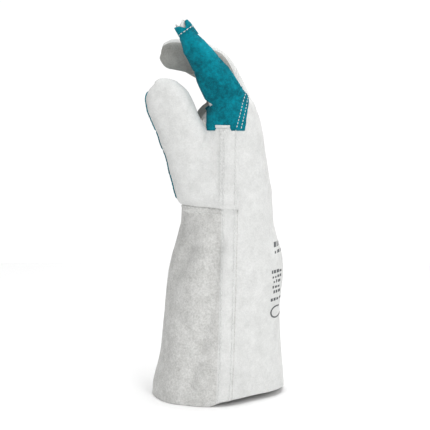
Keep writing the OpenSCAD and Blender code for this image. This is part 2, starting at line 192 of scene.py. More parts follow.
class Tube:
    """A tube round an axis from origin, which turns once, at the elbow, about the tube's width."""

    def __init__(self, origin, along, depth, elbow=None, turn=0.0):
        self.origin, self.along, self.depth = origin, unit(along), unit(depth)
        self.width = np.cross(self.along, self.depth)
        self.elbow, self.turn, self.slim = elbow, turn, 1.0
        self.clear = 11 * MM * (1 + abs(turn))   # sections this far from the elbow do not meet
        self.far_along, self.far_depth = self.axes(turn)
        if elbow is not None:
            self.corner = origin + self.along * elbow
            self.halving = unit(self.along + self.far_along)

    def axes(self, angle):
        c, s = math.cos(angle), math.sin(angle)
        return c * self.along - s * self.depth, c * self.depth + s * self.along

    def local(self, points):
        """Length along the axis, depth and width of each point."""
        q = points - self.origin
        s, u, v = q @ self.along, q @ self.depth, q @ self.width
        if self.elbow is not None:
            q = points - self.corner
            beyond = q @ self.halving > 0
            s = np.where(beyond, self.elbow + q @ self.far_along, s)
            u = np.where(beyond, q @ self.far_depth, u)
        return s, u, v / self.slim

    def measure(self, tree, stations, harmonics, sigma):
        """Reads the skin's radii at each station from the lining inside it."""
        self.stations = np.array(stations)
        rows = []
        for s in stations:
            beyond = self.elbow is not None and s > self.elbow
            along, depth = (self.far_along, self.far_depth) if beyond else (self.along, self.depth)
            base = self.corner - self.elbow * along if beyond else self.origin
            rows.append(measured_radii(tree, base + along * s, depth, self.width))
        rows = smooth_rows(round_off(fill_gaps(np.array(rows)), harmonics), sigma)
        self.radii = rows + BURIED

    def radius(self, s, angle):
        """The skin's radius there, held beyond the ends."""
        row = np.interp(s, self.stations, np.arange(len(self.stations)))
        i = np.minimum(row.astype(int), len(self.stations) - 2)
        f = row - i
        col = np.mod(angle, 2 * math.pi) / (2 * math.pi) * SIDES
        j = col.astype(int) % SIDES
        g = col - np.floor(col)
        k = (j + 1) % SIDES
        low = self.radii[i, j] * (1 - g) + self.radii[i, k] * g
        high = self.radii[i + 1, j] * (1 - g) + self.radii[i + 1, k] * g
        return low * (1 - f) + high * f

    def gap(self, points):
        """About how far each point lies outside the tube's wall."""
        s, u, v = self.local(points)
        return np.hypot(u, v) - self.radius(s, np.arctan2(v, u))

    def place(self, s, u, v, easing):
        """The point at length s, depth u and width v, with the elbow rounded over the easing length."""
        v = v * self.slim
        if self.elbow is None or s < self.elbow - easing:
            return self.origin + s * self.along + np.outer(u, self.depth) + np.outer(v, self.width)
        if s > self.elbow + easing:
            centre = self.corner + (s - self.elbow) * self.far_along
            return centre + np.outer(u, self.far_depth) + np.outer(v, self.width)
        a = (s - self.elbow + easing) / (2 * easing)
        start, end = self.corner - easing * self.along, self.corner + easing * self.far_along
        centre = (1 - a) ** 2 * start + 2 * a * (1 - a) * self.corner + a * a * end
        return centre + np.outer(u, self.axes(self.turn * a)[1]) + np.outer(v, self.width)


arm = Tube(np.array([wrist[0], 0, 0]), Z, X)
heights = np.arange(8 * MM, hand_top, 5 * MM)
cuff_rows = heights[heights < wrist[2] - 14 * MM]
hand_rows = heights[heights > wrist[2] + 14 * MM]
arm.measure(cuff_tree, cuff_rows, 10, 1.6)
cuff_radii = arm.radii
arm.measure(tree_of("hand_lining"), hand_rows, 10, 1.6)
arm.stations = np.concatenate([cuff_rows, hand_rows])
arm.radii = smooth_rows(np.concatenate([cuff_radii, arm.radii]), 1.0)


def digit_tube(name):
    """The tube of a finger or the thumb, with its bend found from the pieces beyond its middle hinge."""
    knuckle, middle = pivot(name + "_knuckle_bend"), pivot(name + "_middle_bend")
    axis = unit(joints[name + "_knuckle_bend"]["axis"])
    along = unit(middle - knuckle)
    depth = unit(np.cross(along, axis))
    if name == "thumb":
        depth = -depth                     # the thumb's hinges turn the other way, and its back faces -Y
    tips = [n for n in frame["nodes"] if n.startswith(name + "_tip") and "patch" not in n]
    far = unit(np.mean([node_points(n).mean(0) for n in tips], 0) - middle)
    far = unit(far - (far @ axis) * axis)
    turn = math.asin(np.clip(-far @ depth, -1, 1))
    tube = Tube(knuckle, along, depth, np.linalg.norm(middle - knuckle), turn)
    tree = tree_of(name + "_lining")
    length = tube.elbow + ((node_points(name + "_lining") - tube.corner) @ tube.far_along).max()
    step, dome = 2.5 * MM, 14 * MM         # between stations, and the length of the rounded tip
    stations = np.concatenate([np.arange(1.5 * MM, tube.elbow - tube.clear, step),
                               np.arange(tube.elbow + tube.clear, length - dome, step),
                               length - dome * np.cos(np.linspace(0, 0.97, 10) * math.pi / 2)])
    tube.measure(tree, stations, 6, 1.0)
    tube.length = length + BURIED
    if name != "thumb":
        tube.slim = FINGER_SLIM
    return tube


tubes = {name: digit_tube(name) for name in DIGITS}
INDEX_END = tubes["index"].length - 8 * MM      # the index finger's leather is open from here


# ---- Lofts and the skin ----

class Mesh:
    """A triangle mesh in numpy: base is each point before sculpting, co after it, and no its normal."""

    def __init__(self, base, co, no, faces):
        self.base, self.co, self.no, self.faces = base, co, no, faces

    def take(self, keep):
        """The faces that keep marks, with only their own points."""
        faces = self.faces[keep]
        used, index = np.unique(faces, return_inverse=True)
        return Mesh(self.base[used], self.co[used], self.no[used], index.reshape(-1, 3))


def ring_quads(first, last, sides):
    """Faces between rings of that many points, from the one that starts at first to the one at last."""
    return [(row + j, row + (j + 1) % sides, row + sides + (j + 1) % sides, row + sides + j)
            for row in range(first, last, sides) for j in range(sides)]


def loft(rings):
    """Points and faces of a closed skin through rings of SIDES points."""
    points = np.concatenate(rings + [rings[0].mean(0)[None], rings[-1].mean(0)[None]])
    last = (len(rings) - 1) * SIDES
    faces = ring_quads(0, last, SIDES)
    for j in range(SIDES):
        k = (j + 1) % SIDES
        faces += [(last + SIDES, k, j), (last + SIDES + 1, last + j, last + k)]
    return points, faces


def slant(x, amount):
    """How far the palm's top falls, and the top of the hand's back rises, at distance x from the wrist."""
    palm, back = math.tan(math.radians(27)), math.tan(math.radians(5))
    return amount * (palm * np.minimum(x, 0) + back * np.maximum(x, 0))


def arm_rings():
    """Rings from below the rim to the slanted, rounded top of the hand."""
    top = knuckles_z - 14 * MM
    levels = [(z, 1.0) for z in np.arange(-12 * MM, top, 5 * MM)]
    levels += [(top + 10 * MM * math.sin(a), math.cos(a) ** 0.6) for a in np.linspace(0, 1.45, 7)]
    for z, shrink in levels:
        radii = arm.radius(np.full(SIDES, z), ANGLES) * shrink
        x, y = radii * np.cos(ANGLES), radii * np.sin(ANGLES)
        yield np.stack([wrist[0] + x, y, z + slant(x, ramp(z, wrist[2] + 40 * MM, top))], 1)


def digit_rings(tube):
    """Rings from inside the hand to the tip, each moved out along the wall's slope by the buried depth."""
    easing = tube.clear * 0.9
    mean = tube.radii.mean(1) - BURIED
    steepness = np.gradient(mean, tube.stations)
    start = -2 * MM if tube is tubes["thumb"] else -16 * MM
    stations = list(np.arange(start, tube.elbow - easing, 3 * MM))
    stations += list(tube.elbow + easing * np.linspace(-1, 1, 9))
    for s in stations:
        radii = tube.radius(np.full(SIDES, s), ANGLES)
        yield tube.place(s, radii * np.cos(ANGLES), radii * np.sin(ANGLES), easing)
    for s, m, k, row in zip(tube.stations, mean, steepness, tube.radii):
        if s > tube.elbow + easing:
            lean = math.hypot(1, k)
            radii = (row - BURIED) * (m + BURIED / lean) / m
            yield tube.place(s - BURIED * k / lean, radii * np.cos(ANGLES), radii * np.sin(ANGLES), easing)


def thumb_root_rings():
    """The ball of the thumb, from the heel of the palm up to the thumb's knuckle."""
    tube = tubes["thumb"]
    heel_z = wrist[2] + 6 * MM
    front = arm.radius(np.array([heel_z]), np.array([math.pi]))[0]
    side = arm.radius(np.array([heel_z]), np.array([-math.pi / 2]))[0]
    heel = np.array([wrist[0] - 0.42 * front, -0.50 * side, heel_z])
    bend = tube.origin - tube.along * 26 * MM + np.array([-1, 7, 0]) * MM
    top = tube.radius(np.zeros(SIDES), ANGLES)
    for t in np.linspace(0, 1, 9):
        centre = (1 - t) ** 2 * heel + 2 * t * (1 - t) * bend + t * t * tube.origin
        along = unit((1 - t) * (bend - heel) + t * (tube.origin - bend))
        width = unit(np.cross(along, tube.depth))
        u = (1 - t) * 0.42 * side * np.cos(ANGLES) + t * top * np.cos(ANGLES)
        v = (1 - t) * 0.60 * front * np.sin(ANGLES) + t * top * np.sin(ANGLES)
        yield centre + np.outer(u, np.cross(width, along)) + np.outer(v, width)


def object_from(name, points, faces):
    mesh = bpy.data.meshes.new(name)
    mesh.from_pydata([tuple(p) for p in points], [], [tuple(f) for f in faces])
    obj = bpy.data.objects.new(name, mesh)
    bpy.context.scene.collection.objects.link(obj)
    return obj


def normals_of(points, faces):
    a, b, c = (points[faces[:, i]] for i in range(3))
    flat = np.cross(b - a, c - a)
    total = np.zeros_like(points)
    for i in range(3):
        np.add.at(total, faces[:, i], flat)
    return total / np.maximum(np.linalg.norm(total, axis=1), 1e-12)[:, None]


def remeshed(voxel, rounds):
    """The union of every loft as one smooth mesh."""
    points, faces = [], []
    lofts = [arm_rings(), thumb_root_rings()] + [digit_rings(tubes[d]) for d in DIGITS]
    for rings in lofts:
        p, f = loft(list(rings))
        faces += [tuple(len(points) + i for i in face) for face in f]
        points += list(p)
    obj = object_from("lofts", points, faces)
    remesh = obj.modifiers.new("remesh", "REMESH")
    remesh.mode, remesh.voxel_size, remesh.adaptivity = "VOXEL", voxel, 0.0
    smooth = obj.modifiers.new("smooth", "SMOOTH")
    smooth.factor, smooth.iterations = 0.5, rounds
    made = bpy.data.meshes.new_from_object(obj.evaluated_get(bpy.context.evaluated_depsgraph_get()))
    made.calc_loop_triangles()
    co = np.array([v.co for v in made.vertices], float)
    tris = np.array([t.vertices for t in made.loop_triangles])
    bpy.data.objects.remove(obj)
    return Mesh(co, co, normals_of(co, tris), tris)


# ---- Cutting a mesh along the line where a field is zero ----

def cut(mesh, values, near=0.05 * MM):
    """The part where values are above zero, and the part where they are below."""
    f = np.where(np.abs(values) < near, 0.0, values)
    data = np.concatenate([mesh.base, mesh.co, mesh.no, f[:, None]], 1)
    tris = mesh.faces
    sides = np.stack([tris, np.roll(tris, -1, 1)], 2)
    crossed = f[sides[:, :, 0]] * f[sides[:, :, 1]] < 0
    pairs = np.sort(sides[crossed], 1)
    pairs, index = np.unique(pairs, axis=0, return_inverse=True)
    t = (f[pairs[:, 0]] / (f[pairs[:, 0]] - f[pairs[:, 1]]))[:, None]
    fresh = data[pairs[:, 0]] * (1 - t) + data[pairs[:, 1]] * t
    fresh[:, -1] = 0
    middle = np.full(crossed.shape, -1)
    middle[crossed] = len(data) + index.ravel()
    data = np.concatenate([data, fresh])
    number = crossed.sum(1)
    out = [tris[number == 0]]
    for k in range(3):
        a, b, c = tris[:, k], tris[:, (k + 1) % 3], tris[:, (k + 2) % 3]
        ab, bc, ca = middle[:, k], middle[:, (k + 1) % 3], middle[:, (k + 2) % 3]
        one = (number == 1) & (bc >= 0)
        out += [np.stack(x, 1)[one] for x in ((a, b, bc), (a, bc, c))]
        two = (number == 2) & (bc < 0)
        out += [np.stack(x, 1)[two] for x in ((a, ab, ca), (ab, b, c), (ab, c, ca))]
    faces = np.concatenate(out)
    whole = Mesh(data[:, :3], data[:, 3:6], data[:, 6:9], faces)
    side = data[:, 9][faces].sum(1)
    return whole.take(side > 0), whole.take(side <= 0)


def line_on(mesh, values):
    """The lines on the mesh where values are zero, each as (points, normals), longest first."""
    f = np.where(values == 0, 1e-9, values)
    links, spots = {}, {}
    for tri in mesh.faces[np.abs(np.sign(f[mesh.faces]).sum(1)) < 3]:
        ends = []
        for a, b in zip(tri, np.roll(tri, -1)):
            if f[a] * f[b] < 0:
                key = (min(a, b), max(a, b))
                t = f[a] / (f[a] - f[b])
                spots[key] = (mesh.co[a] * (1 - t) + mesh.co[b] * t, mesh.no[a] * (1 - t) + mesh.no[b] * t)
                ends.append(key)
        links.setdefault(ends[0], []).append(ends[1])
        links.setdefault(ends[1], []).append(ends[0])
    lines, left = [], set(links)
    while left:
        start = next((k for k in sorted(left) if len(links[k]) == 1), min(left))
        chain, here = [], start
        while here is not None:
            left.discard(here)
            chain.append(here)
            here = next((k for k in links[here] if k in left), None)
        lines.append((np.array([spots[k][0] for k in chain]), np.array([spots[k][1] for k in chain])))
    return sorted(lines, key=lambda line: -len(line[0]))


# ---- Where things are on the skin ----

def seam_x(side):
    """X of the side seam against height, read from the back panels' edges on one side (-1 or 1)."""
    x, y, z = node_points("cuff_back_panel", "back_panel").T
    levels = np.linspace(8 * MM, hand_top - 30 * MM, 12)
    edge = [x[(np.abs(z - level) < 22 * MM) & (y * side > 20 * MM)].min() for level in levels]
    fit = np.polyfit(levels, edge, 2)
    return lambda height: np.polyval(fit, np.clip(height, 0, hand_top))


seam_near, seam_far = seam_x(-1), seam_x(1)


def behind_seam(points):
    """Above zero on the back of the glove, zero along its two side seams."""
    x, y, z = points.T
    return x - np.where(y < 0, seam_near(z), seam_far(z))


def in_digit(name, points):
    """Above zero on that digit's own leather beyond its knuckle."""
    tube = tubes[name]
    s = tube.local(points)[0]
    own = tube.gap(points)
    others = np.min([tubes[d].gap(points) for d in DIGITS if d != name], 0)
    beyond = np.minimum(s - LEAD[name] * MM, 1.5 * (arm_gap(points) - own))
    return np.minimum(beyond, others - own)


def arm_gap(points):
    """About how far each point lies outside the arm's tube, its slanted top included."""
    over = points[:, 2] - knuckles_z + 6 * MM - slant(points[:, 0] - wrist[0], 1.0)
    return np.maximum(arm.gap(points), over)


# The angles from a finger's back to the two edges of the strip down its side
BACK_EDGE, PALM_EDGE = 0.26 * math.pi, 0.74 * math.pi


def edge_of(name, angle):
    """Field that is zero along a digit's lengthwise seam at that angle, and below zero towards its back."""
    def field(points):
        s, u, v = tubes[name].local(points)
        half = tubes[name].radii[0, [0, SIDES // 4]]
        return (np.abs(np.arctan2(v / half[1], u / half[0])) - angle) * np.hypot(u, v)
    return field


# ---- Sculpting: seams, folds and creases ----

def towards(points, x0, z0, x1, z1):
    """Distance in the XZ plane from each point to a segment, and the share of the way along it."""
    d = np.array([x1 - x0, z1 - z0]) * MM
    q = points[:, [0, 2]] - np.array([x0, z0]) * MM
    t = np.clip(q @ d / (d @ d), 0, 1)
    return np.hypot(*(q - t[:, None] * d).T), t


# Soft folds on the thumb side of the palm leather: x0, z0, x1, z1, width and height, all in mm
FOLDS = [(0, 172, -8, 96, 6, -4.2), (-8, 100, -22, 44, 7, -4.8), (-20, 48, -34, 14, 7, -3.8),
         (-24, 164, -47, 122, 7, -3.6), (-46, 126, -54, 100, 7, -2.8), (-19, 150, -32, 74, 8, 2.0),
         (-44, 84, -44, 20, 8, 2.0), (-12, 265, -16, 252, 1.8, -1.6), (-15, 256, -23, 226, 5, -1.2),
         (-4, 262, -6, 206, 5, -0.9), (-34, 214, -14, 240, 7, -1.0), (-30, 186, -2, 174, 6, -0.8),
         (7, 176, 3, 8, 8, 1.5)]


def thumb_side(points):
    return ramp(-points[:, 1], 12 * MM, 30 * MM)


def fold_relief(points):
    move = np.zeros(len(points))
    for x0, z0, x1, z1, width, height in FOLDS:
        far, t = towards(points, x0, z0, x1, z1)
        move += height * MM * bump(far, width * MM) * ramp(t, -0.02, 0.25) * ramp(t, 1.02, 0.8)
    return move * thumb_side(points)


def arm_relief(points):
    """The side seams, the cuff's full back and flared rim, and the wrist seam with the puff over it."""
    x, y, z = points.T
    seam = behind_seam(points)
    groove = (0.9 - 0.6 * thumb_side(points)) * bump(seam, 1.7 * MM)    # shallow under the side strip
    full = 3.2 * ramp(z, 172 * MM, 138 * MM) + 2.6 * bump(z - 124 * MM, 24 * MM)
    flare = 4.5 * ramp(x, -30 * MM, -52 * MM) * ramp(z, 46 * MM, 4 * MM)
    move = ramp(arm_gap(points), 4 * MM, 1 * MM) * (ramp(x, 22 * MM, 46 * MM) * full + flare - groove)
    drop = z - wrist_seam(points)
    move += ramp(-seam, 0, 4 * MM) * (bump(drop - 10 * MM, 8 * MM) - 1.6 * bump(drop + 1 * MM, 3 * MM))
    return move * MM


def finger_relief(points):
    """The fingers' lengthwise seams, and the index narrowing towards its open end."""
    move = np.zeros(len(points))
    for name in FINGERS:
        inside = ramp(in_digit(name, points), -1 * MM, 2 * MM)
        for angle in (BACK_EDGE, PALM_EDGE):
            move -= inside * 0.55 * MM * bump(edge_of(name, angle)(points), 1.5 * MM)
        if name == "index":
            s, u, v = tubes[name].local(points)
            end = tubes[name].length
            narrow = 9.5 * MM * ramp(s, end - 78 * MM, end - 10 * MM)
            move -= inside * narrow * np.clip(u / np.hypot(u, v), 0, 1)
    return move


def thumb_relief(points):
    """The thumb's seam, its full finger side and its slim outer side."""
    tube = tubes["thumb"]
    s, u, v = tube.local(points)
    side = v / np.hypot(u, v)
    inside = ramp(tube.gap(points), 5 * MM, 3 * MM) * ramp(s, -40 * MM, -20 * MM)
    seam = 0.7 * bump(edge_of("thumb", math.pi / 2)(points), 1.6 * MM)
    full = 5 * bump(s - tube.length + 26 * MM, 26 * MM) * np.clip(side, 0, 1)
    slim = 2 * ramp(s, -25 * MM, 0) * np.clip(-side, 0, 1)
    return inside * (full - seam - slim) * MM


def pad_relief(points, normals):
    """The pad that the fingers' roots make over the palm."""
    x, y, z = points.T
    across = ramp(np.abs(y + 9 * MM), 17 * MM, 8 * MM) * ramp(x, 12 * MM, 4 * MM)
    return 6.5 * MM * across * ramp(-normals[:, 0], 0.15, 0.7) * bump(z - knuckles_z + 6 * MM, 26 * MM)


def sculpted(mesh):
    """The skin, with each point moved along its normal to give the leather its worn shape."""
    p = mesh.co
    move = 0.7 * MM * noise_at(p * [1, 1, 0.5], 40 * MM, 3) + 0.25 * MM * noise_at(p, 11 * MM, 9)
    move += fold_relief(p) + arm_relief(p) + finger_relief(p) + thumb_relief(p) + pad_relief(p, mesh.no)
    mesh.co = p + mesh.no * move[:, None]
    mesh.no = normals_of(mesh.co, mesh.faces)
    return mesh


def wrist_seam(points):
    """Height of the seam that joins the palm to the cuff."""
    return wrist[2] + 2 * MM - 0.08 * (points[:, 0] - wrist[0])


def rim(points):
    """Height of the leather's lower edge: the back panel is cut a little shorter than the palm's."""
    x = points[:, 0]
    lift = (ramp(x, -13 * MM, 4 * MM) * 4.3 + ramp(x, 2 * MM, 18 * MM) * 1.4) * MM
    return 0.4 * MM + lift * (0.9 + 0.1 * ramp(points[:, 1], 40 * MM, -10 * MM))


# ---- Materials ----

def add_node(tree, kind, inputs, **settings):
    """A new node with its settings, and its inputs set to values or linked to other nodes' outputs."""
    node = tree.nodes.new(kind)
    for key, value in settings.items():
        setattr(node, key, value)
    for key, value in inputs.items():
        if isinstance(value, bpy.types.NodeSocket):
            tree.links.new(value, node.inputs[key])
        else:
            node.inputs[key].default_value = value
    return node


def noise_node(tree, where, scale, detail, rough):
    inputs = {"Vector": where, "Scale": scale, "Detail": detail, "Roughness": rough}
    return add_node(tree, "ShaderNodeTexNoise", inputs).outputs["Fac"]


def spread(tree, value, low, high, to_low, to_high):
    inputs = {"Value": value, "From Min": low, "From Max": high, "To Min": to_low, "To Max": to_high}
    return add_node(tree, "ShaderNodeMapRange", inputs).outputs["Result"]


def maths(tree, operation, a, b):
    return add_node(tree, "ShaderNodeMath", {0: a, 1: b}, operation=operation).outputs["Value"]


def blended(tree, share, a, b):
    inputs = {"A": (*a, 1), "B": (*b, 1), "Factor": share}
    return add_node(tree, "ShaderNodeMix", inputs, data_type="RGBA").outputs["Result"]


def bumped(tree, shader, height, strength, distance):
    inputs = {"Strength": strength, "Distance": distance, "Height": height}
    tree.links.new(add_node(tree, "ShaderNodeBump", inputs).outputs["Normal"], shader.inputs["Normal"])


def material(name, colour, rough=0.92, sheen=0.25):
    """A material whose slot is its own name, with its node tree and its shader."""
    made = bpy.data.materials.new(name)
    made["slot"] = name
    made.use_nodes = True
    shader = made.node_tree.nodes["Principled BSDF"]
    shader.inputs["Base Color"].default_value = (*colour, 1)
    shader.inputs["Roughness"].default_value = rough
    shader.inputs["Specular IOR Level"].default_value = 0.12
    shader.inputs["Sheen Weight"].default_value = sheen
    shader.inputs["Sheen Roughness"].default_value = 0.6
    return made, made.node_tree, shader


def suede(name, light, dark, blotch=70, nap=900, grain=0.5, sheen=0.25):
    """Napped split leather: cloudy shade from how the nap lies, fibres at a millimetre and below."""
    made, tree, shader = material(name, light, sheen=sheen)
    where = tree.nodes.new("ShaderNodeTexCoord").outputs["Object"]
    clouds = noise_node(tree, where, blotch, 5, 0.65)
    fibres = noise_node(tree, where, nap, 6, 0.75)
    pits = noise_node(tree, where, nap * 0.32, 3, 0.5)
    share = maths(tree, "ADD", maths(tree, "MULTIPLY", clouds, 0.55), maths(tree, "MULTIPLY", fibres, grain))
    share = maths(tree, "ADD", share, maths(tree, "MULTIPLY", pits, 0.25))
    share = spread(tree, share, 0.42 + grain * 0.2, 0.5 + grain * 0.75, 0, 1)
    tree.links.new(blended(tree, share, dark, light), shader.inputs["Base Color"])
    tree.links.new(spread(tree, fibres, 0.3, 0.7, 0.86, 1.0), shader.inputs["Roughness"])
    bumped(tree, shader, maths(tree, "ADD", fibres, maths(tree, "MULTIPLY", pits, 1.2)), 0.55, 0.7 * MM)
    return made


def woven(name, light, dark, pitch):
    """A plain weave or a brushed knit with that many threads to the metre."""
    made, tree, shader = material(name, light, rough=0.95, sheen=0.4)
    where = tree.nodes.new("ShaderNodeTexCoord").outputs["Object"]
    waves = []
    for direction in ("X", "Z"):
        inputs = {"Scale": pitch, "Distortion": 1.5, "Detail": 2, "Vector": where}
        waves.append(add_node(tree, "ShaderNodeTexWave", inputs, bands_direction=direction).outputs["Fac"])
    relief = maths(tree, "ADD", maths(tree, "MULTIPLY", *waves), noise_node(tree, where, 600, 5, 0.7))
    share = spread(tree, relief, 0.3, 1.4, 0, 1)
    tree.links.new(blended(tree, share, dark, light), shader.inputs["Base Color"])
    bumped(tree, shader, relief, 0.6, 0.4 * MM)
    return made


PALE = suede("pale_leather", (0.77, 0.775, 0.765), (0.56, 0.565, 0.555), nap=620, grain=0.75, sheen=0.1)
SOFT = suede("grey_leather", (0.76, 0.765, 0.755), (0.56, 0.565, 0.555), nap=700, grain=0.7, sheen=0.1)
GREY = suede("coarse_leather", (0.77, 0.77, 0.755), (0.385, 0.385, 0.37), nap=560, grain=1.0, sheen=0.1)
# The same grey leather painted much darker: painted shade for the fingers' palm sides and fourchettes and the
# palm under the finger roots, where the glove shades itself
SHADE_PAINTED_LEATHER = suede("dull_leather", (0.43, 0.43, 0.41), (0.215, 0.215, 0.20), nap=700, grain=0.8, sheen=0.1)
GREY["slot"] = SHADE_PAINTED_LEATHER["slot"] = "grey_leather"
TEAL = suede("teal_leather", (0.0, 0.31, 0.40), (0.0, 0.08, 0.11), blotch=45, grain=0.4, sheen=0.02)
FLEECE = woven("fleece", (0.80, 0.78, 0.72), (0.62, 0.60, 0.54), 260)
TAPE = woven("cotton_tape", (0.82, 0.81, 0.77), (0.60, 0.59, 0.55), 420)
THREAD = woven("thread", (0.90, 0.91, 0.90), (0.68, 0.69, 0.68), 700)
PRINT = suede("faded_print", (0.20, 0.205, 0.21), (0.07, 0.075, 0.08), grain=0.6, sheen=0.0)
PRINT["slot"] = "pale_leather"


# ---- Pieces ----

def bend_zone(a, b, start, end):
    return {"blend": (a, b), "start": tuple(start), "end": tuple(end)}


WRIST = bend_zone("cuff", "hand", wrist - Z * 22 * MM, wrist + Z * 26 * MM)
base_zone, tip_zone = {}, {}
for d in DIGITS:
    tube, ease = tubes[d], EASE[d] * MM
    start = tube.corner - tube.along * ease
    end = tube.corner + tube.far_along * ease
    tip_zone[d] = bend_zone(d + "_base", d + "_tip", start, end)
    foot = tube.origin + tube.along * LEAD[d] * MM
    settled = tube.elbow - ease - tube.radii[0, 0] * abs(math.tan(tube.turn / 2)) - 1 * MM
    base_zone[d] = bend_zone("hand", d + "_base", foot, tube.origin + tube.along * settled)


def put(obj, name, zone, surface, replaces):
    """Gives a piece its finish, and its body when the zone names one; a piece in a bend zone is only baked in
    place. It replaces the CAD node of its name unless others are given.
    """
    for face in obj.data.polygons:
        face.use_smooth = True
    obj.data.materials.append(surface)
    if isinstance(zone, str):
        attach(obj, zone)
    else:
        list(zone["blend"])
        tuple(zone["start"])
        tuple(zone["end"])
        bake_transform(obj)
    if name in frame["nodes"] and not replaces:
        replaces = (name,)
    if replaces:
        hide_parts(*replaces)


def open_edges(faces):
    """The edges that only one face has, in that face's own direction."""
    sides = [tuple(side) for i in range(3) for side in faces[:, [i, (i + 1) % 3]]]
    known = set(sides)
    return np.array([(a, b) for a, b in sides if (b, a) not in known]).reshape(-1, 2)


def panel(name, mesh, zone, surface, outer=0.0, inner=-LEATHER, replaces=()):
    """A sheet of leather between two offsets of a part of the skin, closed round its edges."""
    count = len(mesh.co)
    points = np.concatenate([mesh.co + mesh.no * np.reshape(outer, (-1, 1)),
                             mesh.co + mesh.no * np.reshape(inner, (-1, 1))])
    edges = open_edges(mesh.faces)
    walls = np.stack([edges[:, 1], edges[:, 0], edges[:, 0] + count, edges[:, 1] + count], 1)
    inside = mesh.faces[:, ::-1]
    obj = object_from(name, points, list(mesh.faces) + list(inside + count) + list(walls))
    put(obj, name, zone, surface, replaces)
    # the faces keep the skin's own normals, and the walls get flat ones, so that edges look cut
    corners = points[walls]
    across = np.cross(corners[:, 2] - corners[:, 0], corners[:, 3] - corners[:, 1])
    across /= np.maximum(np.linalg.norm(across, axis=1), 1e-12)[:, None]
    facing = np.concatenate([mesh.no[mesh.faces.ravel()], -mesh.no[inside.ravel()], np.repeat(across, 4, 0)])
    obj.data.normals_split_custom_set([tuple(n) for n in facing])


THREAD_SIDES = 6
# Place along half a stitch, and its thickness there
THREAD_SHAPE = ((-1, 0.05), (-0.86, 0.62), (-0.5, 1), (0.5, 1), (0.86, 0.62), (1, 0.05))


def stitches(name, lines, zone, lift, pitch=4.2 * MM, length=2.9 * MM, thick=0.42 * MM, replaces=()):
    """Rows of stitches laid along lines on the leather, each a rounded, half-sunk length of thread."""
    around = np.arange(THREAD_SIDES) * 2 * math.pi / THREAD_SIDES
    points, faces = [], []
    half = length / 2
    for path, normals in lines:
        steps = np.linalg.norm(np.diff(path, axis=0), axis=1)
        run = np.concatenate([[0], np.cumsum(steps)])
        for at in np.arange(pitch * 0.6, run[-1] - pitch * 0.4, pitch):
            a, b = (np.array([np.interp(at + k, run, path[:, i]) for i in range(3)]) for k in (-half, half))
            up = unit([np.interp(at, run, normals[:, i]) for i in range(3)])
            way = unit(b - a)
            side = unit(np.cross(up, way))
            up = np.cross(way, side)
            centre = (a + b) / 2 + up * lift
            base = len(points)
            for t, r in THREAD_SHAPE:
                middle = centre + way * t * half + up * (1 - t * t) * 0.35 * thick
                for c, q in zip(np.cos(around), np.sin(around)):
                    points.append(middle + up * q * r * thick * 0.8 + side * c * r * thick)
            last = base + (len(THREAD_SHAPE) - 1) * THREAD_SIDES
            faces += [(a, d, c, b) for a, b, c, d in ring_quads(base, last, THREAD_SIDES)]
            faces.append(tuple(base + j for j in range(THREAD_SIDES)))
            faces.append(tuple(last + j for j in reversed(range(THREAD_SIDES))))
    put(object_from(name, points, faces), name, zone, THREAD, replaces)


def along_line(mesh, field, keep=None):
    """Lines where a field is zero on a mesh, cut to the points that keep marks."""
    found = []
    for path, normals in line_on(mesh, field(mesh.base)):
        if keep is not None:
            good = keep(path)
            path, normals = path[good], normals[good]
        if len(path) > 2 and np.linalg.norm(np.diff(path, axis=0), axis=1).sum() > 12 * MM:
            found.append((path, normals))
    return found


def field_cut(mesh, field):
    return cut(mesh, field(mesh.base))


def band(mesh, *fields):
    """The part of a mesh where every field is above zero."""
    for field in fields:
        mesh, _ = field_cut(mesh, field)
    return mesh


def halves(name, mesh, *fields):
    """A digit's leather before and beyond the start of its middle bend, where every field is above zero."""
    start = np.array(tip_zone[name]["start"])
    way = unit(np.array(tip_zone[name]["end"]) - start)
    tip, base = field_cut(mesh, lambda p: (p - start) @ way)
    return ("base", band(base, *fields), base_zone[name]), ("tip", band(tip, *fields), tip_zone[name])


def over_rim(p):
    return p[:, 2] - rim(p)


def over_wrist(p):
    return p[:, 2] - wrist_seam(p)


def by_the_roots(p):
    """Above zero on the palm side of the hand close under the three last fingers."""
    return np.minimum(p[:, 1] + 28 * MM, p[:, 2] - knuckles_z + 26 * MM)


# The skin comes apart: first the rim, then each digit, and then the arm's own panels
skin = sculpted(remeshed(VOXEL, 7))
arm_skin = band(skin, over_rim)
digit_skin = {}
for d in DIGITS:
    digit_skin[d], arm_skin = field_cut(arm_skin, lambda p: in_digit(d, p))
digit_skin["index"] = band(digit_skin["index"], lambda p: INDEX_END - tubes["index"].local(p)[0])

back_skin, palm_side = field_cut(arm_skin, behind_seam)
palm_skin = band(palm_side, lambda p: over_wrist(p) + 0.6 * MM)
# The palm close under the finger roots is cut off and painted dark: painted shade where the curled fingers
# shade it
root_skin, palm_skin = field_cut(palm_skin, by_the_roots)
tucked = band(palm_side, lambda p: 3.5 * MM - over_wrist(p))
sunk = 0.9 * MM * ramp(over_wrist(tucked.base), -9 * MM, 2 * MM)
panel("finger_root_panel", root_skin, "hand", SHADE_PAINTED_LEATHER)
panel("palm_panel", palm_skin, WRIST, SOFT, 1.3 * MM * bump(over_wrist(palm_skin.base), 5 * MM),
      replaces=("palm_panel", "thumb_root_panel"))
panel("back_panel", back_skin, WRIST, PALE, replaces=("back_panel", "cuff_back_panel"))
panel("cuff_palm_panel", tucked, WRIST, GREY, -sunk, -sunk - LEATHER)

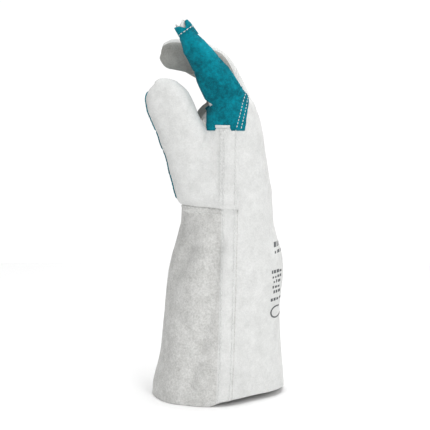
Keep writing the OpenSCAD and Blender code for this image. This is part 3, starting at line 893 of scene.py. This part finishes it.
for d in FINGERS:
    for part, mesh, zone in halves(d, digit_skin[d]):
        rest, back = field_cut(mesh, edge_of(d, BACK_EDGE))
        palm, sides = field_cut(rest, edge_of(d, PALM_EDGE))
        panel(f"{d}_{part}_back", back, zone, PALE)
        # The palm sides and fourchettes of the fingers take the painted shade leather: painted shade where
        # the glove shades them
        panel(f"{d}_{part}_palm", palm, zone, SHADE_PAINTED_LEATHER)
        panel(f"{d}_{part}_fourchettes", sides, zone, SHADE_PAINTED_LEATHER)
for part, mesh, zone in halves("thumb", digit_skin["thumb"]):
    palm, back = field_cut(mesh, edge_of("thumb", math.pi / 2))
    panel(f"thumb_{part}_back", back, zone, SOFT)
    panel(f"thumb_{part}_palm", palm, zone, SOFT)


# ---- The side strip and the little-finger side's welt, laid over the seams ----

def soft_edge(mesh, height, width):
    """Offsets that rise from the piece's own edge to its full height."""
    rim_points = mesh.base[np.unique(open_edges(mesh.faces))]
    tree = KDTree(len(rim_points))
    for i, p in enumerate(rim_points):
        tree.insert(p, i)
    tree.balance()
    far = np.array([tree.find(p)[2] for p in mesh.base])
    return height * (0.45 + 0.55 * ramp(far, 0, width))


def near_side(p):
    return -p[:, 1] - 5 * MM


STRIP_TOP = pivot("index_knuckle_bend")[2] - 30 * MM
CUFF_STRIP, HAND_STRIP = 16 * MM, 19 * MM       # how far the strip reaches past the seam onto the palm side


def strip_edge(p):
    """How far a point lies inside the strip's palm-side edge, which steps out above the wrist seam."""
    stepped = ramp(p[:, 2], wrist[2], wrist[2] + 4 * MM)
    return behind_seam(p) + CUFF_STRIP + (HAND_STRIP - CUFF_STRIP) * stepped


strip = band(arm_skin, near_side, lambda p: -behind_seam(p) - 1.2 * MM, strip_edge,
             lambda p: STRIP_TOP - p[:, 2], lambda p: over_rim(p) - 1 * MM)
upper_strip, lower_strip = field_cut(strip, over_wrist)
for name, mesh in (("cuff_side_strip", lower_strip), ("hand_side_strip", upper_strip)):
    panel(name, mesh, WRIST, PALE, soft_edge(mesh, 0.5 * MM, 4 * MM), -0.2 * MM)
welt = band(arm_skin, lambda p: p[:, 1] - 5 * MM, lambda p: 1.5 * MM - np.abs(behind_seam(p)),
            lambda p: over_rim(p) - 1 * MM)
upper_welt, lower_welt = field_cut(welt, over_wrist)
for name, mesh in (("cuff_side_welt", lower_welt), ("hand_side_welt", upper_welt)):
    panel(name, mesh, WRIST, GREY, 1.1 * MM, -0.3 * MM)


# ---- Coloured patches ----

def patch(name, mesh, zone):
    panel(name, mesh, zone, TEAL, soft_edge(mesh, PATCH, BEVEL), 0.1 * MM)


def index_root_right(p):
    """Zero along the flap's edge on the hand, which leans back as it climbs."""
    over = 8 * MM * ramp(p[:, 2], STRIP_TOP + 28 * MM, STRIP_TOP + 38 * MM)
    return 23.5 * MM + 0.13 * (p[:, 2] - STRIP_TOP) - over - p[:, 0]


def index_notch(p):
    """Below zero in the notch that the patch's palm edge has at the knuckle."""
    bite = p[:, 0] + 7 * MM + 1.5 * np.abs(p[:, 2] - STRIP_TOP - 22 * MM)
    return np.maximum(bite, -p[:, 0] - 24 * MM)


def ragged(p, seed):
    return 0.35 * MM * noise_at(p, 4 * MM, seed)


def on_fold(p):
    """Above zero where the folded end of the side strip shows at the patch's lower edge."""
    return 6.5 * MM - np.abs(p[:, 0] - 2.5 * MM)


PATCH_BOTTOM = STRIP_TOP - 2.5 * MM


def bottom_edge(p):
    """Above zero over the patch's lower edge, which rises round the folded end of the strip."""
    return p[:, 2] - PATCH_BOTTOM + ragged(p, 5) - 4.5 * MM * ramp(on_fold(p), -1 * MM, 1 * MM)


root_patch = band(arm_skin, lambda p: -p[:, 1] - 22 * MM, lambda p: index_root_right(p) + ragged(p, 2),
                  lambda p: p[:, 0] + 13 * MM, index_notch, bottom_edge)
patch("index_root_patch", root_patch, "hand")
fold = band(arm_skin, near_side, on_fold, lambda p: 1.2 * MM - np.abs(p[:, 2] - PATCH_BOTTOM - 4.2 * MM))
panel("side_strip_fold", fold, "hand", PALE, PATCH + 0.9 * MM, 0.1 * MM)


def index_wrap(p):
    """Above zero where the index patch lies: the thumb side and the palm side of the finger."""
    s, u, v = tubes["index"].local(p)
    at = np.arctan2(v, u)
    return 12 * MM * np.where(at > 0, at - 0.72 * math.pi, -at - 0.09 * math.pi)


for part, mesh, zone in halves("index", digit_skin["index"], index_wrap, index_notch):
    patch(f"index_{part}_patch", mesh, zone)


def thumb_wrap(p):
    """Above zero on the palm side of the thumb, and a little round its outer edge."""
    s, u, v = tubes["thumb"].local(p)
    at = np.mod(np.arctan2(v, u), 2 * math.pi)
    outer_edge = 1.49 + 0.05 * bump(s - tubes["thumb"].length + 20 * MM, 16 * MM)
    inner_edge = 0.66 + 0.2 * ramp(s, 16 * MM, 2 * MM)
    round_side = np.minimum(at - inner_edge * math.pi, outer_edge * math.pi - at) * 18 * MM
    return np.minimum(round_side, tubes["thumb"].length - 4 * MM - s)


thumb_patches = halves("thumb", digit_skin["thumb"], thumb_wrap)
for part, mesh, zone in thumb_patches:
    patch(f"thumb_{part}_patch", mesh, zone)


def on_root(p):
    """Above zero on the palm side of the ball of the thumb."""
    s, u, v = tubes["thumb"].local(p)
    on_side = np.minimum(0.26 * s - u - 2 * MM - np.maximum(v, 0), arm_gap(p) - 2 * MM)
    below_index = pivot("index_knuckle_bend")[2] - 20 * MM - p[:, 2]
    return np.minimum(np.minimum(on_side, s + 62 * MM), below_index)


root, palm_left = field_cut(band(palm_side, lambda p: over_wrist(p) - 4 * MM), on_root)
root = band(root, lambda p: p[:, 2] - wrist[2] - 7 * MM)
patch("thumb_root_patch", root, WRIST)


def palm_shape(p):
    """Above zero on the palm's own patch, a slightly uneven square with round corners."""
    middle, half, corner = np.array([8, 243]) * MM, np.array([24, 20]) * MM, 8 * MM
    over = np.maximum(np.abs(p[:, [1, 2]] - middle) - half, 0)
    return np.minimum(corner - np.hypot(*over.T) + ragged(p, 8), -p[:, 0])


palm_patch = band(palm_left, palm_shape, lambda p: -on_root(p) - 1.2 * MM)
patch("palm_patch", palm_patch, WRIST)


# ---- Stitching ----

def left_of_strip(path):
    return path[:, 0] < seam_near(wrist[2]) - CUFF_STRIP - 1 * MM


side_rows = along_line(arm_skin, lambda p: behind_seam(p) + 3.4 * MM,
                       lambda q: (q[:, 1] < -8 * MM) & (q[:, 2] < STRIP_TOP))
side_rows += along_line(lower_strip, lambda p: strip_edge(p) - 2.0 * MM)
side_rows += along_line(upper_strip, lambda p: strip_edge(p) - 1.6 * MM)
side_rows += along_line(upper_strip, lambda p: strip_edge(p) - 4.6 * MM)
stitches("side_thread", side_rows, WRIST, 1.0 * MM, replaces=("cuff_thread", "hand_thread"))
wrist_rows = along_line(tucked, lambda p: over_wrist(p) + 3.2 * MM, left_of_strip)
wrist_rows += along_line(tucked, lambda p: over_wrist(p) + 7.0 * MM, left_of_strip)
stitches("wrist_thread", wrist_rows, WRIST, 0.0)
flap_rows = along_line(root_patch, lambda p: p[:, 0] - 15 * MM - 0.247 * (p[:, 2] - STRIP_TOP))
flap_rows += along_line(root_patch, lambda p: p[:, 0] - 19.6 * MM - 0.20 * (p[:, 2] - STRIP_TOP))
stitches("index_thread", flap_rows, "hand", PATCH, 3.1 * MM, 2.1 * MM, 0.36 * MM)
palm_rows = along_line(palm_patch, lambda p: palm_shape(p) - 3.5 * MM)
palm_rows += along_line(root, lambda p: on_root(p) - 3 * MM)
stitches("palm_thread", palm_rows, WRIST, PATCH)
for part, mesh, zone in thumb_patches:
    stitches(f"thumb_{part}_thread", along_line(mesh, lambda p: thumb_wrap(p) - 3 * MM), zone, PATCH)


# ---- Lining ----

TAPE_IN = -LEATHER - FLEECE_GAP
coarse = sculpted(remeshed(LINING_VOXEL, 5))
coarse.base = coarse.co
arm_lining = band(coarse, lambda p: over_rim(p) - 5.5 * MM)
tape = band(coarse, lambda p: over_rim(p) - 0.2 * MM, lambda p: 6 * MM - over_rim(p))
panel("rim_tape", tape, "cuff", TAPE, TAPE_IN, TAPE_IN - 1.6 * MM)
for d in DIGITS:
    arm_lining = band(arm_lining, lambda p: -in_digit(d, p) - 0.5 * MM)
    inner_skin = digit_skin[d]
    if d == "index":
        inner_skin = band(inner_skin, lambda p: INDEX_END - 3 * MM - tubes["index"].local(p)[0])
    for part, mesh, zone in halves(d, inner_skin):
        panel(f"{d}_{part}_lining", mesh, zone, FLEECE, TAPE_IN, TAPE_IN - 1.0 * MM,
              (d + "_lining",) if part == "base" else ())
panel("glove_lining", arm_lining, WRIST, FLEECE, TAPE_IN - 0.5 * MM, TAPE_IN - 1.6 * MM,
      ("cuff_lining", "hand_lining", "thumb_root_lining"))


# ---- The index finger's open end ----

def turn_from(at):
    """Signed turn from that angle to each ray round a section."""
    return np.mod(ANGLES - at + math.pi, 2 * math.pi) - math.pi


def rounded(part, half):
    """One axis of a section that is boxier than an ellipse, from its cosines or sines."""
    return half * np.sign(part) * np.abs(part) ** 0.8


def hem_shell(name, low, high, half_depth, half_width, surface, wave, seed, notch):
    """A flattened sleeve that carries on past the closed fingertip, with an uneven upper edge."""
    tube, rows, back = tubes["index"], 9, 2 * MM
    points = []
    for t in np.arange(rows + 1) / rows:
        shrink = 1 - 0.12 * t
        u = rounded(np.cos(ANGLES), half_depth * shrink)
        v = rounded(np.sin(ANGLES), half_width * shrink)
        ring = tube.place(low + (high - low) * t, u - back, v, 3 * MM)
        out = np.outer(u, tube.far_depth) + np.outer(v, tube.width)
        out /= np.linalg.norm(out, axis=1)[:, None]
        crumple = noise_at(ring, 5 * MM, seed) * wave * t
        dip = notch * t * (bump(turn_from(1.56 * math.pi), 0.30) + 0.7 * bump(turn_from(0.5 * math.pi), 0.35))
        dip = dip - 0.8 * wave * t * np.sin(3 * ANGLES + seed)
        points.append(ring + out * crumple[:, None] - np.outer(dip, tube.far_along))
    co = np.concatenate(points)
    quads = np.array(ring_quads(0, rows * SIDES, SIDES))
    faces = np.concatenate([quads[:, [0, 1, 2]], quads[:, [0, 2, 3]]])
    mesh = Mesh(co, co, normals_of(co, faces), faces)
    panel(name, mesh, tip_zone["index"], surface, 0.0, -1.2 * MM)
    return mesh


tip = tubes["index"].length
hem = hem_shell("index_hem", tip - 15 * MM, tip + 1.5 * MM, 8.7 * MM, 10.5 * MM, TEAL, 0.9 * MM, 4, 5 * MM)
hem_shell("index_raw_edge", tip - 12 * MM, tip + 2.5 * MM, 5.6 * MM, 8.2 * MM, PALE, 2.2 * MM, 11, 0.5 * MM)
hem_rows = along_line(hem, lambda p: tubes["index"].local(p)[0] - tip + 6 * MM)
stitches("index_hem_thread", hem_rows, tip_zone["index"], 0.25 * MM, 3.6 * MM, 2.6 * MM)


# ---- Faded marks on the back of the cuff: plain bars and a ring, with nothing to read ----

# Height, left end and tallest bar of each row, and the ring's centre and two radii, all in mm
MARK_ROWS = ((152, 52, 6.0), (146, 53, 3.0), (127, 50, 3.4), (122, 51, 2.8), (117, 52, 3.4), (111.5, 51, 3.0),
             (106, 52, 3.4), (98, 49, 3.2))
MARK_END = 60
RING_X, RING_Z, RING_RADII = 56, 86, (6.4, 5.0)
front_of_skin = BVHTree.FromPolygons([Vector(p) for p in skin.co], [tuple(f) for f in skin.faces])


def on_front(flat):
    """Where lines from the thumb side meet the skin at those X and Z in mm, and the skin's normals there."""
    places, facing = [], []
    for x, z in flat:
        hit, normal, _, _ = front_of_skin.ray_cast(Vector((x * MM, -0.5, z * MM)), Vector((0, 1, 0)))
        if hit is None:
            hit, normal, _, _ = front_of_skin.find_nearest(Vector((x * MM, 0, z * MM)))
        places.append(hit)
        facing.append(normal)
    return np.array(places), np.array(facing)


def print_marks():
    """Every mark as one mesh, made of strips between two rows of X and Z points."""
    rng = np.random.default_rng(5)
    marks = []
    for level, left, tall in MARK_ROWS:
        x = left + rng.uniform(0, 1)
        while x < MARK_END:
            wide = rng.uniform(1.0, 2.6)
            rise = tall * rng.uniform(0.6, 1)
            marks.append([(a, z) for z in (level, level + rise) for a in np.linspace(x, x + wide, 3)])
            x += wide + rng.uniform(0.7, 1.3)
    turns = np.radians(np.linspace(60, 330, 28))
    marks.append([(RING_X + r * math.cos(t), RING_Z + r * math.sin(t)) for r in RING_RADII for t in turns])
    points, normals = on_front([spot for mark in marks for spot in mark])
    faces, start = [], 0
    for mark in marks:
        count = len(mark) // 2
        for i in range(start, start + count - 1):
            faces += [(i, i + 1, count + i + 1), (i, count + i + 1, count + i)]
        start += len(mark)
    return Mesh(points, points, normals, np.array(faces))


panel("print_marks", print_marks(), "cuff", PRINT, 0.14 * MM, -0.2 * MM)


# ---- Stage: floor, light and camera ----

floor = object_from("floor", [(-1.6, -1.6, 0), (1.6, -1.6, 0), (1.6, 0.8, 0), (-1.6, 0.8, 0)], [(0, 1, 2, 3)])
floor.data.materials.append(material("studio_floor", (0.95, 0.95, 0.95), rough=0.9, sheen=0.0)[0])


def put_in_scene(name, data, place, aim):
    """An object at a place, turned to look at a point."""
    made = bpy.data.objects.new(name, data)
    made.location = place
    made.rotation_euler = (aim - made.location).to_track_quat("-Z", "Y").to_euler()
    bpy.context.scene.collection.objects.link(made)
    return made


def area_light(name, place, size, power):
    data = bpy.data.lights.new(name, "AREA")
    data.shape, data.size, data.energy = "DISK", size, power
    put_in_scene(name, data, place, Vector((0, 0, 0.19)))


area_light("key", (0.9, -1.7, 1.0), 0.9, 15)
area_light("fill", (-1.2, -1.5, 1.2), 1.0, 5)
area_light("top", (0.1, 0.1, 2.2), 1.6, 30)
world = bpy.data.worlds.new("studio")
bpy.context.scene.world = world
world.use_nodes = True
# A bright backdrop behind the glove, and dimmer walls round the rest of the room
tree = world.node_tree
direction = tree.nodes.new("ShaderNodeTexCoord").outputs["Generated"]
parts = add_node(tree, "ShaderNodeSeparateXYZ", {"Vector": direction}).outputs
backdrop = spread(tree, parts["Y"], 0.75, 0.9, 0.0, 0.55)
sideways = spread(tree, parts["X"], -1.0, 1.0, 0.35, 0.65)
background = tree.nodes["Background"].inputs
tree.links.new(maths(tree, "ADD", backdrop, sideways), background["Strength"])
background["Color"].default_value = (1, 1, 1, 1)
bpy.context.scene.view_settings.view_transform = "Standard"

# The camera looks from the thumb side, a little downwards
height = cad_box[1][2] - cad_box[0][2]
aim = Vector((-5 * MM, 0, 0.477 * height))
distance, down = 2.9 * height, math.radians(6.9)
place = aim + Vector((0, -math.cos(down), math.sin(down))) * distance
camera = put_in_scene("camera", bpy.data.cameras.new("camera"), place, aim)
camera.data.sensor_width = 36
camera.data.lens = 18 / math.tan(math.radians(22.1) / 2)
bpy.context.scene.camera = camera
